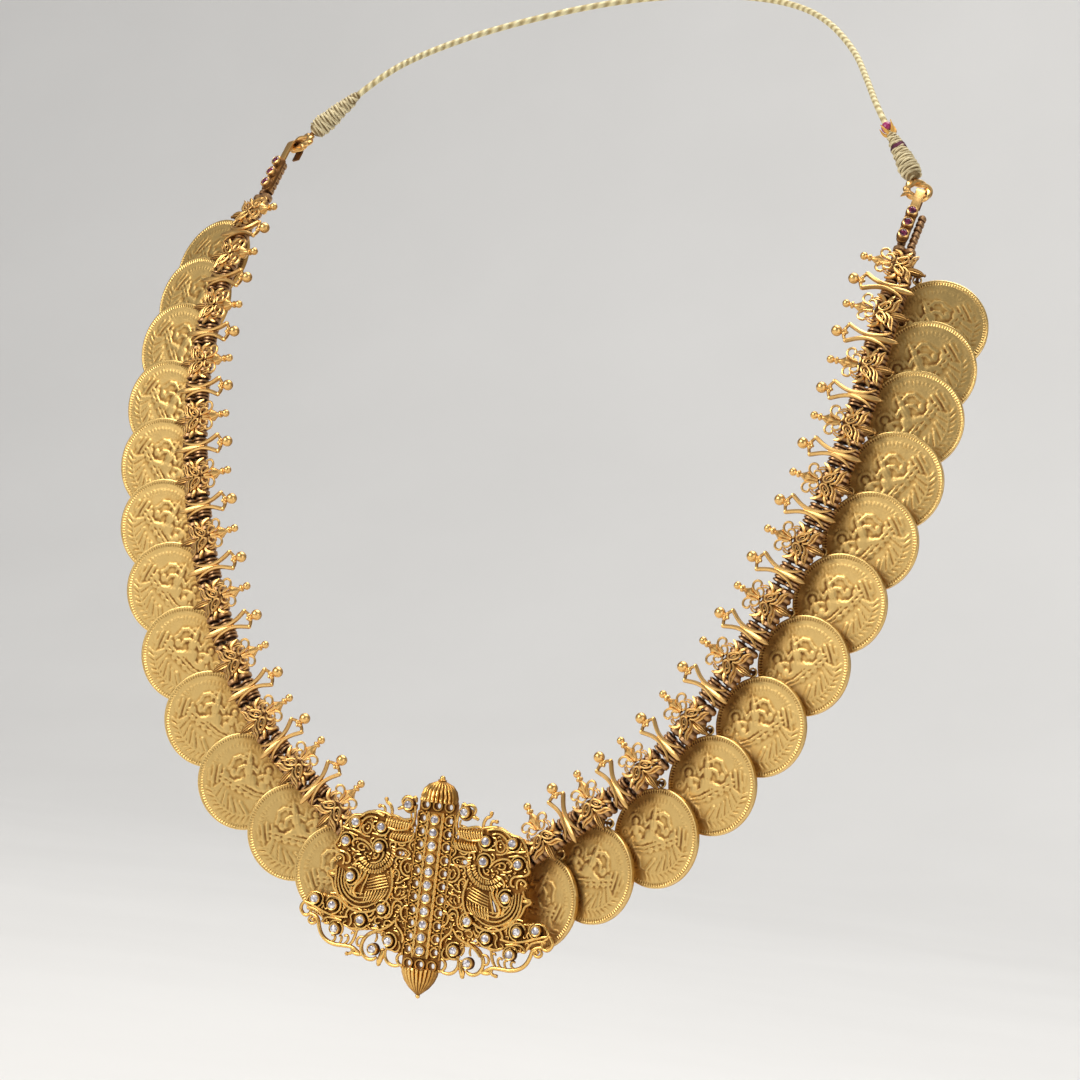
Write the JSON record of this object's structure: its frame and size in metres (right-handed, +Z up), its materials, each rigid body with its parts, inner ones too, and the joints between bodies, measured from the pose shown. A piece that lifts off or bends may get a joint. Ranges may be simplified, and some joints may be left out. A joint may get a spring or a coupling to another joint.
{
  "type": "coin necklace",
  "caption": "Gold-coloured necklace: a pierced pendant with stones, flower links and spacers on two strings, hanging coins, and a cord with hooks and rings that closes the loop.",
  "frame": {"origin": "front of the back cord at the nape, where the loop lies on the back of the neck", "axes": "+Z up, -Y the way that the pendant faces, +X to the right of someone who looks at the pendant"},
  "size_m": [0.1958, 0.1097, 0.2285],
  "materials": {
    "coin_gold": "satin, gold-coloured, worn darker in the hollows",
    "filigree_gold": "cast and soldered, gold-coloured, dark in the recesses",
    "chain_string": "twisted thread, brown",
    "clear_stone": "cut, bright",
    "red_stone": "cut, bright",
    "wound_thread": "wound metallic thread",
    "back_cord": "twisted cord",
    "bead_red": "gloss"
  },
  "bodies": {
    "root": {"back_cord": "back_cord", "clasp_ring_left": "filigree_gold", "clasp_ring_right": "filigree_gold", "coin_left_01": "coin_gold", "coin_left_02": "coin_gold", "coin_left_03": "coin_gold", "coin_left_04": "coin_gold", "coin_left_05": "coin_gold", "coin_left_06": "coin_gold", "coin_left_07": "coin_gold", "coin_left_08": "coin_gold", "coin_left_09": "coin_gold", "coin_left_10": "coin_gold", "coin_left_11": "coin_gold", "coin_left_12": "coin_gold", "coin_right_01": "coin_gold", "coin_right_02": "coin_gold", "coin_right_03": "coin_gold", "coin_right_04": "coin_gold", "coin_right_05": "coin_gold", "coin_right_06": "coin_gold", "coin_right_07": "coin_gold", "coin_right_08": "coin_gold", "coin_right_09": "coin_gold", "coin_right_10": "coin_gold", "coin_right_11": "coin_gold", "coin_right_12": "coin_gold", "cord_bead": "bead_red", "cord_winding_left": "wound_thread", "cord_winding_right": "wound_thread", "flower_links_left": "filigree_gold", "flower_links_right": "filigree_gold", "lower_string_left": "chain_string", "lower_string_right": "chain_string", "pendant_center_stones": "clear_stone", "pendant_filigree": "filigree_gold", "pendant_left_stones": "clear_stone", "pendant_right_stones": "clear_stone", "pillar_spacers_left": "filigree_gold", "pillar_spacers_right": "filigree_gold", "red_stones_left": "red_stone", "red_stones_right": "red_stone", "stone_bar_left": "filigree_gold", "stone_bar_right": "filigree_gold", "upper_string_left": "chain_string", "upper_string_right": "chain_string"}
  },
  "joints": []
}
